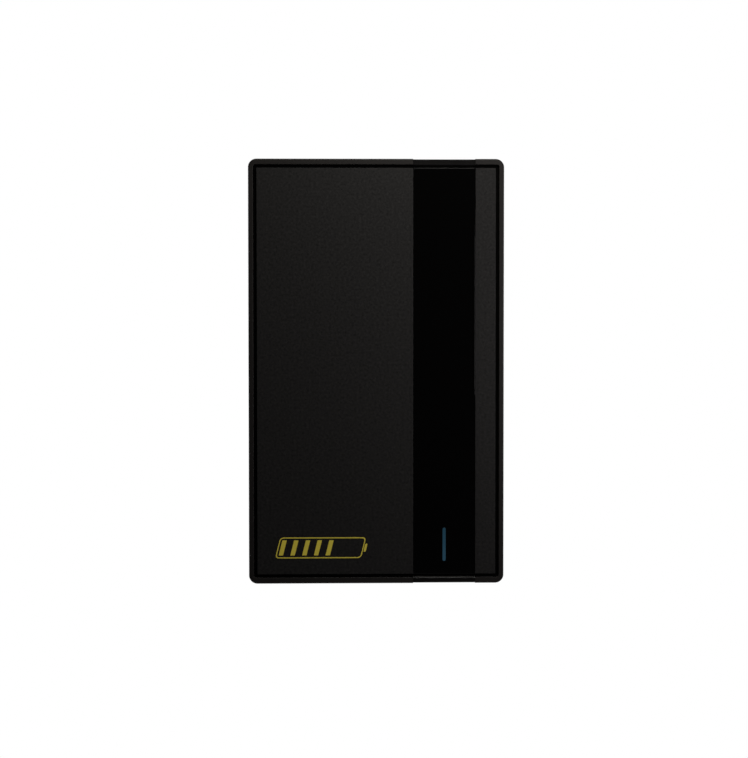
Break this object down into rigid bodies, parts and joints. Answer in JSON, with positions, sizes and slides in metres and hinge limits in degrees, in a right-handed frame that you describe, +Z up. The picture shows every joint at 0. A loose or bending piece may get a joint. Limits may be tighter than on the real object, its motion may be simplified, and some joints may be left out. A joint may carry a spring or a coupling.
{
  "type": "wall battery unit",
  "caption": "Slim upright wall-hung battery cabinet with a black rounded frame, matte front panels, a gloss vertical band with a light bar, and a connection bay underneath.",
  "frame": {"origin": "centre of the wall bracket's back face, on the wall plane", "axes": "+Z up, +X to the right seen from the front, +Y into the wall; the front faces -Y"},
  "size_m": [0.51, 0.17, 0.848],
  "materials": {
    "powder_coat": "satin",
    "cover_plastic": "satin",
    "matte_panel": "matte",
    "gloss_black": "gloss",
    "light_cyan": "satin",
    "zinc_steel": "satin",
    "rubber_black": "matte",
    "cell_can": "satin",
    "insulator": "matte",
    "carrier_plastic": "matte",
    "copper": "satin",
    "circuit_board": "satin",
    "aluminium": "satin",
    "fuse_ceramic": "satin",
    "brass": "satin",
    "device_orange": "satin",
    "device_black": "satin",
    "device_grey": "satin"
  },
  "bodies": {
    "bracket": {"wall_bracket": "zinc_steel", "wall_bolt_1": "zinc_steel", "wall_bolt_2": "zinc_steel", "wall_bolt_3": "zinc_steel", "wall_bolt_4": "zinc_steel"},
    "cabinet": {"hanger_rail": "zinc_steel", "rear_bumper_left": "rubber_black", "rear_bumper_right": "rubber_black", "rear_casing": "powder_coat", "side_grip_left": "device_black", "side_grip_right": "device_black", "casing_gasket": "rubber_black", "closing_plate": "zinc_steel", "front_cover": "cover_plastic", "band_cap_top": "gloss_black", "band_cap_bottom": "gloss_black", "panel_left": "matte_panel", "panel_right": "matte_panel", "gloss_strip": "gloss_black", "light_guide": "light_cyan", "light_board": "circuit_board", "cell_01": "cell_can", "cell_02": "cell_can", "cell_03": "cell_can", "cell_04": "cell_can", "cell_05": "cell_can", "cell_06": "cell_can", "cell_07": "cell_can", "cell_08": "cell_can", "cell_09": "cell_can", "cell_10": "cell_can", "cell_11": "cell_can", "cell_12": "cell_can", "cell_13": "cell_can", "cell_14": "cell_can", "cell_15": "cell_can", "cell_16": "cell_can", "back_insulation": "insulator", "layer_divider": "insulator", "clamp_plate": "zinc_steel", "busbar_carrier_left": "carrier_plastic", "busbar_carrier_right": "carrier_plastic", "column_link": "copper", "bms_board": "circuit_board", "bms_heatsink": "aluminium", "main_fuse": "fuse_ceramic", "current_shunt": "brass", "positive_cable": "device_orange", "negative_cable": "device_black", "connection_bay": "powder_coat", "positive_terminal": "device_orange", "negative_terminal": "device_black", "dc_breaker": "device_grey", "button_housing": "zinc_steel", "port_block": "device_black", "ground_stud": "brass", "pressure_vent": "device_black"},
    "toggle": {"breaker_toggle": "device_black"},
    "power_key": {"power_button": "zinc_steel"},
    "reset_key": {"reset_button": "device_black"}
  },
  "joints": [
    {"name": "lift_off", "type": "slide", "parent": "bracket", "child": "cabinet", "axis": [0, 0, 1], "range_m": [0, 0.03]},
    {"name": "breaker_throw", "type": "hinge", "parent": "cabinet", "child": "toggle", "pos_m": [-0.072, -0.08, -0.583], "axis": [1, 0, 0], "range_deg": [0, 80]},
    {"name": "power_press", "type": "slide", "parent": "cabinet", "child": "power_key", "axis": [0, 0, 1], "range_m": [0, 0.002], "stiffness_N_per_m": 800, "springref_m": -0.002},
    {"name": "reset_press", "type": "slide", "parent": "cabinet", "child": "reset_key", "axis": [0, 0, 1], "range_m": [0, 0.001], "stiffness_N_per_m": 500, "springref_m": -0.001}
  ]
}
